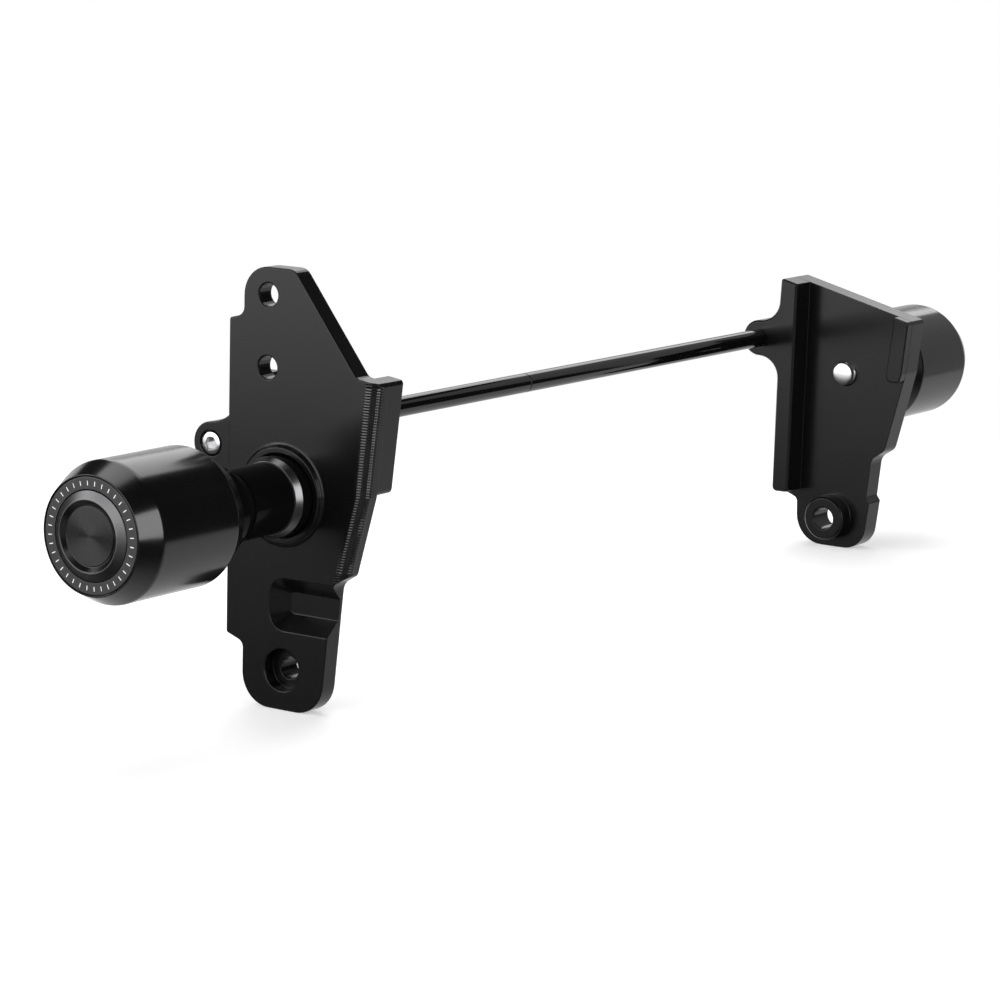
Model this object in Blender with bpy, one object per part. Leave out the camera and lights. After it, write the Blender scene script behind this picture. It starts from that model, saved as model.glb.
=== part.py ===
"""Frame slider kit for a motorcycle: two milled plates, each with a crash puck on a spacer, and a cross rod.

X runs across the motorcycle, Y along it and Z up. Sizes are millimetres and become metres in the meshes.
A place "out" is a distance along X from the middle of the motorcycle, the same on both sides.
"""

import math
from types import SimpleNamespace

import bmesh
import bpy
from mathutils import Vector

MM = 0.001
GAP = 0.3  # clearance between pieces that touch
BITE = 0.3  # how far a raised form runs into the plate that it grows from
BEYOND = 1.0  # how far a cutter runs past the face that it opens
FLUSH = 0.05  # how far a raised form's side stays behind the plate's own edge
ARC_ERROR = 0.04  # how far a chord may leave its arc

# Plates
PLATE_FACE = 211.0
PLATE_WEB = {"left": 7.5, "right": 10.5}
EDGE_CHAMFER = 0.35
RAIL_DEPTH = {"left": 15.0, "right": 12.0}
RAIL_WIDTH = {"left": 7.3, "right": 8.2}
RAIL_CHAMFER = 0.8
PAD_DEPTH = {"left": 9.0, "right": 4.5}
PAD_WIDTH = {"left": 6.6, "right": 7.2}
PAD_FOOT = {"left": 2.8, "right": -1.0}
PAD_CHAMFER = 0.4
LUG_BOTTOM = -78.9
LEFT_EDGE = 24.8
RIGHT_EDGE = 28.5
RIGHT_EDGE_LEAN = 0.5  # out at the foot of that edge, and in at its top
LEFT_EAR_BLEND = 15.0
RIGHT_EAR_BLEND = 9.6

# Milled round-over of the left plate's long edge
ROUND_OVER = 5.0
ROUND_OVER_LIFT = 0.08
SCALLOP_PITCH = 1.0
SCALLOP_DEPTH = 0.07

# Holes for the motorcycle's own bolts
UPPER_HOLE = 8.5
UPPER_HOLE_Y = 7.4
UPPER_HOLE_HEIGHTS = (71.4, 45.3)
LEFT_LUG_HOLE = 8.5
RIGHT_LUG_HOLE = 10.0
LEFT_LUG_CENTRE = (-0.8, -64.1)
RIGHT_LUG_CENTRE = (4.3, -65.4)
LUG_RECESS = 15.5
LUG_RECESS_DEPTH = 5.0
LUG_BOSS = 19.6
LUG_BOSS_RISE = 7.6
HOLE_CHAMFER = 0.35

# Relief pocket in the left plate
POCKET_TOP = -30.2
POCKET_BOTTOM = -49.8
POCKET_END = 5.2
POCKET_DEPTH = 5.8
POCKET_CORNER = 7.0

# Spacer and its seat
SEAT_BOSS = 35.6
SEAT_BOSS_RISE = 2.0
SEAT_BOSS_FILLET = 1.5
SEAT_LIP = 0.5
SEAT_DEPTH = 2.7
SPACER_FLANGE = 29.6
SPACER_FLANGE_END = 7.2
SPACER_SHAFT = 26.0
SPACER_SHOULDER = 32.0
SPACER_SHOULDER_LENGTH = 9.2
SPACER_CONE_LENGTH = 6.5
SPACER_BEVEL = 1.8
SPACER_GROOVE = 0.8
SPACER_GROOVE_DEPTH = 0.4

# Puck and what is in it
PUCK_DIAMETER = 50.0
PUCK_LENGTH = 56.8
PUCK_STAND_OFF = {"left": 47.9, "right": 7.9}
PUCK_TAPER_LENGTH = 8.5
PUCK_TAPER = 4.1
PUCK_REAR_TAPER = 4.4
SLEEVE_DIAMETER = 16.0
WASHER_DIAMETER = 22.0
WASHER_THICKNESS = 2.0
NOSE_LIP = 0.4
RING_WIDTH = 4.3
RING_THICKNESS = 3.0
CAP_BEVEL = 2.8
CAP_CREST_RISE = 1.75
CAP_CREST_WIDTH = 0.5
CAP_DISH = 1.9
CAP_DISC_RISE = 0.55
CAP_SPIGOT_LENGTH = 1.4

# Screws
BOLT_DIAMETER = 10.0
BOLT_HEAD = 16.0
BOLT_HEAD_HEIGHT = 10.0
BOLT_SOCKET = 8.0
BOLT_TIP = 4.8
BOLT_HEAD_CLEARANCE = 0.8
EAR_SCREW_DIAMETER = 5.0
EAR_SCREW_LENGTH = 20.0
EAR_SCREW_HEAD = 8.5
EAR_SCREW_HEAD_HEIGHT = 5.0
EAR_SCREW_SOCKET = 4.0
EAR_SCREW_RECESS = 9.4
SCREW_CHAMFER = 0.16  # of the screw's diameter

# Cross rod
ROD_DIAMETER = 8.0
ROD_CHAMFER = 0.3
ROD_Y = 38.55
ROD_Z = 13.6
EAR_RADIUS = 8.0
STUD_DIAMETER = 5.0
STUD_LENGTH = 24.0

SLIDER_AXIS = (0.0, 0.0)
ROD_AXIS = (ROD_Y, ROD_Z)
SIDES = {"left": -1, "right": 1}

# Places out from the middle that both sides share
boss_top = PLATE_FACE + SEAT_BOSS_RISE
seat_floor = boss_top - SEAT_DEPTH

# Radii in the puck's nose, each within the last
nose_radius = PUCK_DIAMETER / 2 - PUCK_TAPER - NOSE_LIP
ring_radius = nose_radius - GAP
cap_radius = ring_radius - RING_WIDTH - GAP
crest_radius = cap_radius - CAP_BEVEL - CAP_CREST_WIDTH
disc_radius = crest_radius - CAP_DISH

# Corners of the outlines, as Y, Z and corner radius
LEFT_SIDE_LINE = [(-41.05, 44.0), (-36.6, 2.8), (-28.8, -26.6)]
RIGHT_SIDE_LINE = [(-32.9, 26.3), (-30.5, 2.8), (-21.4, -32.9)]
LEFT_WEB_CORNERS = [
    (18.4, 81.4, 10.7),
    (-4.2, 81.4, 5.0),
    (-32.3, 45.2, 3.5),
    (*LEFT_SIDE_LINE[0], 1.5),
    (*LEFT_SIDE_LINE[1], 6.0),
    (*LEFT_SIDE_LINE[2], 2.0),
    (-22.9, -30.2, 5.0),
    (-18.2, LUG_BOTTOM, 12.0),
    (17.3, LUG_BOTTOM, 12.0),
    (17.3, -56.2, 3.0),
    (LEFT_EDGE, -53.5, 1.0),
    (LEFT_EDGE, 61.8, 1.0),
    (18.4, 63.4, 3.5),
]
RIGHT_WEB_CORNERS = [
    (RIGHT_EDGE - RIGHT_EDGE_LEAN, 41.6, 1.2),
    (*RIGHT_SIDE_LINE[0], 1.5),
    (*RIGHT_SIDE_LINE[1], 6.0),
    (*RIGHT_SIDE_LINE[2], 4.5),
    (-14.9, -37.1, 5.0),
    (-13.1, -55.0, 1.0),
    (-14.75, -57.0, 1.2),
    (-11.9, LUG_BOTTOM, 10.5),
    (21.8, LUG_BOTTOM, 13.0),
    (22.3, -59.0, 2.5),
    (RIGHT_EDGE + RIGHT_EDGE_LEAN, -56.4, 1.0),
]
RAIL_TOP_Z = 41.0
RAIL_BOTTOM_Z = {"left": -53.2, "right": -55.0}


def start_clean():
    """Removes whatever the scene holds and gives the empty that carries the kit."""
    for thing in list(bpy.data.objects):
        bpy.data.objects.remove(thing, do_unlink=True)
    centre = bpy.data.objects.new("kit_centre", None)
    bpy.context.scene.collection.objects.link(centre)
    return centre


def stack(side_name):
    """Places out from the middle on one side: its plate's depths, and what stands along its slider."""
    web_inside = PLATE_FACE - PLATE_WEB[side_name]
    rear = PLATE_FACE + PUCK_STAND_OFF[side_name]
    front = rear + PUCK_LENGTH
    nose_floor = front - RING_THICKNESS - GAP
    cap_back = nose_floor + GAP - CAP_SPIGOT_LENGTH
    bolt_seat = cap_back - BOLT_HEAD_CLEARANCE - BOLT_HEAD_HEIGHT
    return SimpleNamespace(
        web_inside=web_inside,
        ear_face=web_inside + BITE,
        rail_end=web_inside - RAIL_DEPTH[side_name],
        pad_end=web_inside - PAD_DEPTH[side_name],
        lug_boss_end=web_inside - LUG_BOSS_RISE,
        bolt_end=web_inside - BOLT_TIP,
        puck_rear=rear,
        puck_front=front,
        nose_floor=nose_floor,
        cap_back=cap_back,
        bolt_seat=bolt_seat,
        washer_seat=bolt_seat - 2 * GAP - WASHER_THICKNESS,
        crest_out=front + CAP_CREST_RISE,
    )


def finish(name, colour, roughness, metallic):
    """A plain finish of one colour."""
    material = bpy.data.materials.new(name)
    material.use_nodes = True
    shader = material.node_tree.nodes["Principled BSDF"]
    shader.inputs["Base Color"].default_value = (*colour, 1.0)
    shader.inputs["Roughness"].default_value = roughness
    shader.inputs["Metallic"].default_value = metallic
    return material


def solid(name, points, faces, material):
    """An object from points in millimetres and the faces between them, with every face pointing out."""
    mesh = bpy.data.meshes.new(name)
    body = bmesh.new()
    corners = [body.verts.new(Vector(point) * MM) for point in points]
    for face in faces:
        body.faces.new([corners[i] for i in face])
    bmesh.ops.recalc_face_normals(body, faces=body.faces)
    body.to_mesh(mesh)
    body.free()
    mesh.shade_smooth()
    mesh.set_sharp_from_angle(angle=math.radians(30))
    thing = bpy.data.objects.new(name, mesh)
    thing.parent = kit
    bpy.context.scene.collection.objects.link(thing)
    mesh.materials.append(material or tool_finish)
    return thing


def change(thing, tool, operation):
    """Joins a tool to a solid or cuts it away, and hides the tool."""
    step = thing.modifiers.new(tool.name, "BOOLEAN")
    step.operation = operation
    step.solver = "EXACT"
    step.object = tool
    tool.hide_render = True
    tool.display_type = "WIRE"


def arc_steps(radius, turn):
    """How many chords follow an arc within the allowed error."""
    widest = 2 * math.acos(max(0.0, 1 - ARC_ERROR / radius))
    return max(2, math.ceil(turn / widest))


def arc(centre, radius, start, end):
    """Outline corners without a radius along an arc, from one angle to another."""
    steps = arc_steps(radius, abs(end - start))
    angles = [start + (end - start) * i / steps for i in range(steps + 1)]
    return [(centre[0] + radius * math.cos(a), centre[1] + radius * math.sin(a), 0.0) for a in angles]


def rounded(corners, steps=None):
    """The points of an outline whose corners are rounded to their own radius."""
    points = []
    for i, (y, z, radius) in enumerate(corners):
        here = Vector((y, z))
        if not radius:
            points.append((y, z))
            continue
        back = (Vector(corners[i - 1][:2]) - here).normalized()
        ahead = (Vector(corners[(i + 1) % len(corners)][:2]) - here).normalized()
        half = back.angle(ahead) / 2
        centre = here + (back + ahead).normalized() * radius / math.sin(half)
        first = here + back * radius / math.tan(half) - centre
        last = here + ahead * radius / math.tan(half) - centre
        start = math.atan2(first.y, first.x)
        turn = math.remainder(math.atan2(last.y, last.x) - start, math.tau)
        count = steps or arc_steps(radius, abs(turn))
        for k in range(count + 1):
            angle = start + turn * k / count
            points.append((centre.x + radius * math.cos(angle), centre.y + radius * math.sin(angle)))
    return points


def inset(outline, amount):
    """The outline moved inwards, each side by the same amount."""
    area = sum(a[0] * b[1] - b[0] * a[1] for a, b in zip(outline, outline[1:] + outline[:1]))
    inward = amount if area > 0 else -amount
    moved = []
    for i, point in enumerate(outline):
        here = Vector(point)
        back = (here - Vector(outline[i - 1])).normalized()
        ahead = (Vector(outline[(i + 1) % len(outline)]) - here).normalized()
        normal = Vector((-back.y - ahead.y, back.x + ahead.x)).normalized()
        reach = inward / max(0.5, normal.dot(Vector((-back.y, back.x))))
        moved.append(tuple(here + normal * reach))
    return moved


def loft(name, rings, side, material=None):
    """A solid through outlines of as many points each, given as (out, outline)."""
    count = len(rings[0][1])
    points = [(side * out, y, z) for out, outline in rings for y, z in outline]
    faces = [list(range(count)), list(range(len(points) - count, len(points)))]
    for k in range(len(rings) - 1):
        for i in range(count):
            j = (i + 1) % count
            faces.append([k * count + i, k * count + j, (k + 1) * count + j, (k + 1) * count + i])
    return solid(name, points, faces, material)


def prism(name, outline, inner, outer, side, inner_chamfer=0.0, outer_chamfer=0.0, material=None):
    """An outline carried along X, with a chamfer round either end."""
    rings = [(inner, inset(outline, inner_chamfer))] if inner_chamfer else []
    rings += [(inner + inner_chamfer, outline), (outer - outer_chamfer, outline)]
    rings += [(outer, inset(outline, outer_chamfer))] if outer_chamfer else []
    return loft(name, rings, side, material)


def turned(name, profile, axis, side, segments, material=None):
    """A profile of (out, radius) turned about an axis along X; a radius of zero is a point on the axis."""
    points = []
    rings = []
    for out, radius in profile:
        count = segments if radius else 1
        rings.append(list(range(len(points), len(points) + count)))
        for k in range(count):
            angle = math.tau * (k + 0.5) / segments
            across, up = radius * math.cos(angle), radius * math.sin(angle)
            points.append((side * out, axis[0] + across, axis[1] + up))
    faces = []
    hollow = len(rings[0]) > 1 and len(rings[-1]) > 1
    for i in range(len(rings) if hollow else len(rings) - 1):
        one, two = rings[i], rings[(i + 1) % len(rings)]
        for k in range(segments):
            j = (k + 1) % segments
            around = [one[k % len(one)], one[j % len(one)], two[j % len(two)], two[k % len(two)]]
            faces.append(list(dict.fromkeys(around)))
    return solid(name, points, faces, material)


def ear(edge, blend):
    """Corners of the round ear on a rail's edge, with a concave blend above and below it."""
    across = edge + blend - ROD_Y
    rise = math.sqrt((EAR_RADIUS + blend) ** 2 - across**2)
    meet = math.atan2(-rise, -across)
    upper = arc((edge + blend, ROD_Z + rise), blend, math.pi, math.tau + meet)
    lower = [(y, 2 * ROD_Z - z, 0.0) for y, z, _ in reversed(upper)]
    round_end = arc(ROD_AXIS, EAR_RADIUS, meet + math.pi, -meet - math.pi)
    return upper + round_end[1:-1] + lower


def side_y(line, z):
    """Y of a plate's long edge at a height, carried straight on past both ends."""
    top, kink, foot = line
    one, two = (top, kink) if z > kink[1] else (kink, foot)
    return one[0] + (two[0] - one[0]) * (z - one[1]) / (two[1] - one[1])


def top_z(corners, y):
    """Height of the right plate's sloping top edge."""
    (y_one, z_one, _), (y_two, z_two, _) = corners[0], corners[1]
    return z_one + (z_two - z_one) * (y - y_one) / (y_two - y_one)


def rail_outline(side_name):
    """The deep rail at the plate's straight edge, with the ear that holds the rod."""
    edge, blend, lean = LEFT_EDGE, LEFT_EAR_BLEND, 0.0
    outer_top = inner_top = RAIL_TOP_Z
    inner = edge - RAIL_WIDTH[side_name]
    if side_name == "right":
        edge, blend, lean = RIGHT_EDGE, RIGHT_EAR_BLEND, RIGHT_EDGE_LEAN
        inner = edge - RAIL_WIDTH[side_name]
        outer_top = top_z(RIGHT_WEB_CORNERS, edge - lean)
        inner_top = top_z(RIGHT_WEB_CORNERS, inner - lean)
    foot = RAIL_BOTTOM_Z[side_name]
    return rounded([
        (inner - lean, inner_top, 0.0),
        (edge - lean, outer_top, 1.2),
        *ear(edge, blend),
        (edge + lean, foot, 2.0),
        (inner + lean, foot, 1.5),
    ])


def pad_outline(side_name):
    """The shallow pad along the upper part of the plate's long edge."""
    line = LEFT_SIDE_LINE if side_name == "left" else RIGHT_SIDE_LINE
    corners = LEFT_WEB_CORNERS[2:] if side_name == "left" else RIGHT_WEB_CORNERS
    y_top, z_top = line[0]
    foot = PAD_FOOT[side_name]
    inner_top = y_top + PAD_WIDTH[side_name]
    outline = [
        (y_top, z_top, 1.5),
        (inner_top, top_z(corners, inner_top), 0.0),
        (side_y(line, foot) + PAD_WIDTH[side_name], foot, 2.5),
        (side_y(line, foot), foot, 2.0),
    ]
    if foot < line[1][1]:
        outline.append((*line[1], 0.0))
    return rounded(outline)


def drill(name, side, centre, stages):
    """A hole cutter: stages of (from, to, diameter), with a chamfer at the two open ends."""
    first_out, last_in = stages[0][0], stages[-1][1]
    first_radius, last_radius = stages[0][2] / 2, stages[-1][2] / 2
    profile = [(first_out + BEYOND, 0.0), (first_out + BEYOND, first_radius + HOLE_CHAMFER + BEYOND)]
    profile.append((first_out - HOLE_CHAMFER, first_radius))
    for (_, end, wide), (_, _, narrow) in zip(stages, stages[1:]):
        profile += [(end, wide / 2), (end, narrow / 2)]
    profile.append((last_in + HOLE_CHAMFER, last_radius))
    profile += [(last_in - BEYOND, last_radius + HOLE_CHAMFER + BEYOND), (last_in - BEYOND, 0.0)]
    return turned(name, profile, centre, side, 20)


def round_over_cutter():
    """Takes the outer corner off the left plate's long edge, pass by pass, as a ball cutter leaves it."""
    side = SIDES["left"]
    line = LEFT_SIDE_LINE
    top, foot = line[0][1] + 3 * BEYOND, line[2][1] - 4.5 * BEYOND
    steps = round(2 * (top - foot) / SCALLOP_PITCH)
    arc_count = 3
    away = 3 * BEYOND
    centre_out = PLATE_FACE - ROUND_OVER + ROUND_OVER_LIFT
    points = []
    for k in range(steps + 1):
        z = top + (foot - top) * k / steps
        edge = side_y(line, z)
        centre_y = edge + ROUND_OVER - ROUND_OVER_LIFT
        radius = ROUND_OVER - (SCALLOP_DEPTH if k % 2 else 0.0)
        for i in range(arc_count + 1):
            angle = math.pi / 2 * i / arc_count
            out, back = radius * math.cos(angle), radius * math.sin(angle)
            points.append((side * (centre_out + out), centre_y - back, z))
        points.append((side * centre_out, edge - away, z))
        points.append((side * (PLATE_FACE + away), edge - away, z))
        points.append((side * (PLATE_FACE + away), centre_y, z))
    ring = arc_count + 4
    faces = [list(range(ring)), list(range(len(points) - ring, len(points)))]
    for k in range(steps):
        for i in range(ring):
            j = (i + 1) % ring
            faces.append([k * ring + i, k * ring + j, (k + 1) * ring + j, (k + 1) * ring + i])
    return solid("left_round_over_cutter", points, faces, None)


def pocket_cutter():
    """The relief pocket: open to the long edge, with walls at 45 degrees all round."""
    rings = []
    for depth in (POCKET_DEPTH, -BEYOND):
        radius = POCKET_CORNER - depth
        far = side_y(LEFT_SIDE_LINE, POCKET_BOTTOM) - ROUND_OVER
        corners = [
            (far, POCKET_TOP - depth, 0.0),
            (POCKET_END - depth, POCKET_TOP - depth, radius),
            (POCKET_END - depth, POCKET_BOTTOM + depth, radius),
            (far, POCKET_BOTTOM + depth, 0.0),
        ]
        rings.append((PLATE_FACE - depth, rounded(corners, steps=8)))
    return loft("left_pocket_cutter", rings, SIDES["left"])


def seat_boss(side_name):
    """The round boss that the spacer stands in, blended into the plate's face."""
    radius = SEAT_BOSS / 2
    profile = [(PLATE_FACE - BITE, 0.0)]
    blend = []
    for degrees in (15, 40, 65, 90):
        angle = math.radians(degrees)
        out = PLATE_FACE + SEAT_BOSS_FILLET * (1 - math.cos(angle))
        blend.append((out, radius + SEAT_BOSS_FILLET * (1 - math.sin(angle))))
    profile.append((PLATE_FACE - BITE, blend[0][1]))
    profile += blend
    if SEAT_BOSS_RISE - SEAT_BOSS_FILLET > SEAT_LIP:
        profile.append((boss_top - SEAT_LIP, radius))
    profile += [(boss_top, radius - SEAT_LIP), (boss_top, 0.0)]
    return turned(side_name + "_seat_boss", profile, SLIDER_AXIS, SIDES[side_name], 36)


def seat_cutter(side_name):
    """The recess for the spacer's flange, and the bolt's hole behind it."""
    recess = SPACER_FLANGE / 2 + GAP
    hole = BOLT_DIAMETER / 2 + GAP
    web_inside = stack(side_name).web_inside
    profile = [
        (boss_top + BEYOND, 0.0),
        (boss_top + BEYOND, recess + SEAT_LIP + BEYOND),
        (boss_top - SEAT_LIP, recess),
        (seat_floor, recess),
        (seat_floor, hole),
        (web_inside + HOLE_CHAMFER, hole),
        (web_inside - BEYOND, hole + HOLE_CHAMFER + BEYOND),
        (web_inside - BEYOND, 0.0),
    ]
    return turned(side_name + "_seat_cutter", profile, SLIDER_AXIS, SIDES[side_name], 32)


def plate(side_name):
    """One frame plate: web, rail with ear, pad, lug boss and seat boss in one piece, then its holes."""
    side = SIDES[side_name]
    left = side_name == "left"
    at = stack(side_name)
    outline = rounded(LEFT_WEB_CORNERS if left else RIGHT_WEB_CORNERS)
    black = finish(side_name + "_plate_anodised", (0.018, 0.018, 0.019), 0.42, 0.7)
    thing = prism(side_name + "_plate", outline, at.web_inside, PLATE_FACE, side, 0.0, EDGE_CHAMFER, black)
    rail_form = inset(rail_outline(side_name), FLUSH)
    rail = prism(side_name + "_rail", rail_form, at.rail_end, at.ear_face, side, RAIL_CHAMFER, BITE)
    pad_form = inset(pad_outline(side_name), FLUSH)
    pad = prism(side_name + "_pad", pad_form, at.pad_end, at.ear_face, side, PAD_CHAMFER)
    lug = LEFT_LUG_CENTRE if left else RIGHT_LUG_CENTRE
    boss_radius = LUG_BOSS / 2
    boss_profile = [
        (at.lug_boss_end, 0.0),
        (at.lug_boss_end, boss_radius - RAIL_CHAMFER),
        (at.lug_boss_end + RAIL_CHAMFER, boss_radius),
        (at.ear_face, boss_radius),
        (at.ear_face, 0.0),
    ]
    lug_boss = turned(side_name + "_lug_boss", boss_profile, lug, side, 36)
    for grown in (rail, pad, lug_boss, seat_boss(side_name)):
        change(thing, grown, "UNION")
    recess_floor = PLATE_FACE - LUG_RECESS_DEPTH
    lug_hole = LEFT_LUG_HOLE if left else RIGHT_LUG_HOLE
    lug_stages = [(PLATE_FACE, recess_floor, LUG_RECESS), (recess_floor, at.lug_boss_end, lug_hole)]
    change(thing, drill(side_name + "_lug_drill", side, lug, lug_stages), "DIFFERENCE")
    screw_floor = at.ear_face - EAR_SCREW_HEAD_HEIGHT - GAP
    screw_hole = EAR_SCREW_DIAMETER + 2 * GAP
    ear_stages = [(at.ear_face, screw_floor, EAR_SCREW_RECESS), (screw_floor, at.rail_end, screw_hole)]
    change(thing, drill(side_name + "_ear_drill", side, ROD_AXIS, ear_stages), "DIFFERENCE")
    change(thing, seat_cutter(side_name), "DIFFERENCE")
    if left:
        change(thing, round_over_cutter(), "DIFFERENCE")
        for k, height in enumerate(UPPER_HOLE_HEIGHTS):
            stages = [(PLATE_FACE, at.web_inside, UPPER_HOLE)]
            upper_drill = drill(f"left_upper_drill_{k + 1}", side, (UPPER_HOLE_Y, height), stages)
            change(thing, upper_drill, "DIFFERENCE")
        change(thing, pocket_cutter(), "DIFFERENCE")


def spacer(side_name):
    """The spacer: flange in the plate's seat, shaft and coned shoulder, or a plain collar if it is short."""
    bore = BOLT_DIAMETER / 2 + GAP
    flange = SPACER_FLANGE / 2
    shaft = SPACER_SHAFT / 2
    groove = shaft - SPACER_GROOVE_DEPTH
    shoulder = SPACER_SHOULDER / 2
    end = stack(side_name).puck_rear - GAP
    cone_start = end - SPACER_SHOULDER_LENGTH
    cone_end = cone_start - SPACER_CONE_LENGTH
    flange_end = PLATE_FACE + SPACER_FLANGE_END
    bevel_end = flange_end + SPACER_BEVEL
    profile = [(seat_floor + GAP, bore), (seat_floor + GAP, flange)]
    if cone_end - bevel_end > 3 * SPACER_GROOVE:
        profile += [
            (flange_end, flange),
            (bevel_end, shaft + GAP),
            (bevel_end, groove),
            (bevel_end + SPACER_GROOVE, groove),
            (bevel_end + SPACER_GROOVE, shaft),
            (cone_end - SPACER_GROOVE, shaft),
            (cone_end - SPACER_GROOVE, groove),
            (cone_end, groove),
            (cone_start, shoulder),
            (end, shoulder),
        ]
    else:
        profile += [(end - SPACER_GROOVE, flange), (end, flange - SPACER_GROOVE)]
    profile.append((end, bore))
    alloy = finish(side_name + "_spacer_anodised", (0.015, 0.015, 0.016), 0.25, 0.8)
    turned(side_name + "_spacer", profile, SLIDER_AXIS, SIDES[side_name], 32, alloy)


def puck(side_name):
    """The nylon crash puck: a bore for the sleeve, a pocket for the bolt's head, a recess in its nose."""
    radius = PUCK_DIAMETER / 2
    bore = SLEEVE_DIAMETER / 2 + GAP
    pocket = WASHER_DIAMETER / 2 + GAP
    at = stack(side_name)
    profile = [
        (at.puck_rear, bore),
        (at.puck_rear, radius - PUCK_REAR_TAPER),
        (at.puck_rear + PUCK_TAPER_LENGTH, radius),
        (at.puck_front - PUCK_TAPER_LENGTH, radius),
        (at.puck_front, radius - PUCK_TAPER),
        (at.puck_front, nose_radius),
        (at.nose_floor, nose_radius),
        (at.nose_floor, pocket),
        (at.washer_seat, pocket),
        (at.washer_seat, bore),
    ]
    nylon = finish(side_name + "_puck_nylon", (0.012, 0.012, 0.013), 0.2, 0.0)
    turned(side_name + "_puck", profile, SLIDER_AXIS, SIDES[side_name], 44, nylon)


def end_ring(side_name):
    """The flat ring in the puck's nose."""
    inner = cap_radius + GAP
    bevel = GAP / 2
    at = stack(side_name)
    back = at.nose_floor + GAP
    profile = [
        (back, inner),
        (back, ring_radius),
        (at.puck_front - bevel, ring_radius),
        (at.puck_front, ring_radius - bevel),
        (at.puck_front, inner),
    ]
    alloy = finish(side_name + "_ring_anodised", (0.02, 0.02, 0.021), 0.35, 0.8)
    turned(side_name + "_end_ring", profile, SLIDER_AXIS, SIDES[side_name], 36, alloy)


def end_cap(side_name):
    """The turned cap over the bolt's head: a raised ring round a flat disc, on a spigot."""
    spigot = WASHER_DIAMETER / 2
    at = stack(side_name)
    back = at.nose_floor + GAP
    disc_out = at.puck_front + CAP_DISC_RISE
    profile = [
        (at.cap_back, 0.0),
        (at.cap_back, spigot),
        (back, spigot),
        (back, cap_radius),
        (at.puck_front, cap_radius),
        (at.crest_out, crest_radius + CAP_CREST_WIDTH),
        (at.crest_out, crest_radius),
        (disc_out - GAP, disc_radius + GAP),
        (disc_out - GAP, disc_radius),
        (disc_out, disc_radius - GAP / 2),
        (disc_out, 0.0),
    ]
    alloy = finish(side_name + "_cap_anodised", (0.022, 0.022, 0.024), 0.28, 0.9)
    turned(side_name + "_end_cap", profile, SLIDER_AXIS, SIDES[side_name], 32, alloy)


def sleeve_and_washer(side_name):
    """The sleeve that the bolt clamps through the puck, and the washer that holds the puck on it."""
    steel = finish(side_name + "_zinc_steel", (0.55, 0.56, 0.58), 0.35, 1.0)
    bore = BOLT_DIAMETER / 2 + GAP
    at = stack(side_name)
    sleeve = [
        (at.puck_rear, bore),
        (at.puck_rear, SLEEVE_DIAMETER / 2),
        (at.washer_seat, SLEEVE_DIAMETER / 2),
        (at.washer_seat, bore),
    ]
    turned(side_name + "_inner_sleeve", sleeve, SLIDER_AXIS, SIDES[side_name], 24, steel)
    rest = at.washer_seat + GAP
    washer = [
        (rest, bore),
        (rest, WASHER_DIAMETER / 2),
        (rest + WASHER_THICKNESS, WASHER_DIAMETER / 2),
        (rest + WASHER_THICKNESS, bore),
    ]
    washer_steel = finish(side_name + "_washer_steel", (0.6, 0.61, 0.63), 0.3, 1.0)
    turned(side_name + "_bolt_washer", washer, SLIDER_AXIS, SIDES[side_name], 24, washer_steel)


def socket_screw(name, side_name, axis, seat, diameter, length, head, head_height, socket, segments):
    """A screw with a round head and a six-sided socket; its head sits outwards of its seat."""
    side = SIDES[side_name]
    chamfer = SCREW_CHAMFER * diameter
    edge = SCREW_CHAMFER * head_height / 2
    profile = [
        (seat - length, 0.0),
        (seat - length, diameter / 2 - chamfer),
        (seat - length + chamfer, diameter / 2),
        (seat, diameter / 2),
        (seat, head / 2),
        (seat + head_height - edge, head / 2),
        (seat + head_height, head / 2 - edge),
        (seat + head_height, 0.0),
    ]
    steel = finish(name + "_stainless", (0.7, 0.7, 0.7), 0.22, 1.0)
    thing = turned(name, profile, axis, side, segments, steel)
    corner = socket / 2 / math.cos(math.pi / 6)
    hexagon = [(axis[0] + corner * math.cos(k * math.pi / 3), axis[1] + corner * math.sin(k * math.pi / 3))
               for k in range(6)]
    top = seat + head_height
    socket_cutter = prism(name + "_socket_cutter", hexagon, top - head_height / 2, top + BEYOND, side)
    change(thing, socket_cutter, "DIFFERENCE")


def rod(side_name):
    """One half of the cross rod, threaded inside for the ear's screw and for the joining stud."""
    radius = ROD_DIAMETER / 2
    middle = GAP / 2
    at = stack(side_name)
    end = at.rail_end - GAP
    stud_radius = STUD_DIAMETER / 2 + GAP
    screw_radius = EAR_SCREW_DIAMETER / 2 + GAP
    stud_floor = STUD_LENGTH / 2 + GAP
    screw_floor = at.ear_face - EAR_SCREW_HEAD_HEIGHT - EAR_SCREW_LENGTH - GAP
    profile = [
        (stud_floor, 0.0),
        (stud_floor, stud_radius),
        (middle, stud_radius),
        (middle, radius - ROD_CHAMFER),
        (middle + ROD_CHAMFER, radius),
        (end, radius),
        (end, screw_radius),
        (screw_floor, screw_radius),
        (screw_floor, 0.0),
    ]
    black = finish(side_name + "_rod_black", (0.01, 0.01, 0.01), 0.15, 0.5)
    turned(side_name + "_rod", profile, ROD_AXIS, SIDES[side_name], 20, black)


def joining_stud():
    """The threaded stud that joins the two halves of the rod, hidden inside them."""
    half = STUD_LENGTH / 2
    radius = STUD_DIAMETER / 2
    chamfer = SCREW_CHAMFER * STUD_DIAMETER
    profile = [
        (-half, 0.0),
        (-half, radius - chamfer),
        (chamfer - half, radius),
        (half - chamfer, radius),
        (half, radius - chamfer),
        (half, 0.0),
    ]
    steel = finish("stud_steel", (0.5, 0.5, 0.52), 0.35, 1.0)
    turned("rod_joining_stud", profile, ROD_AXIS, 1, 16, steel)


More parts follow.
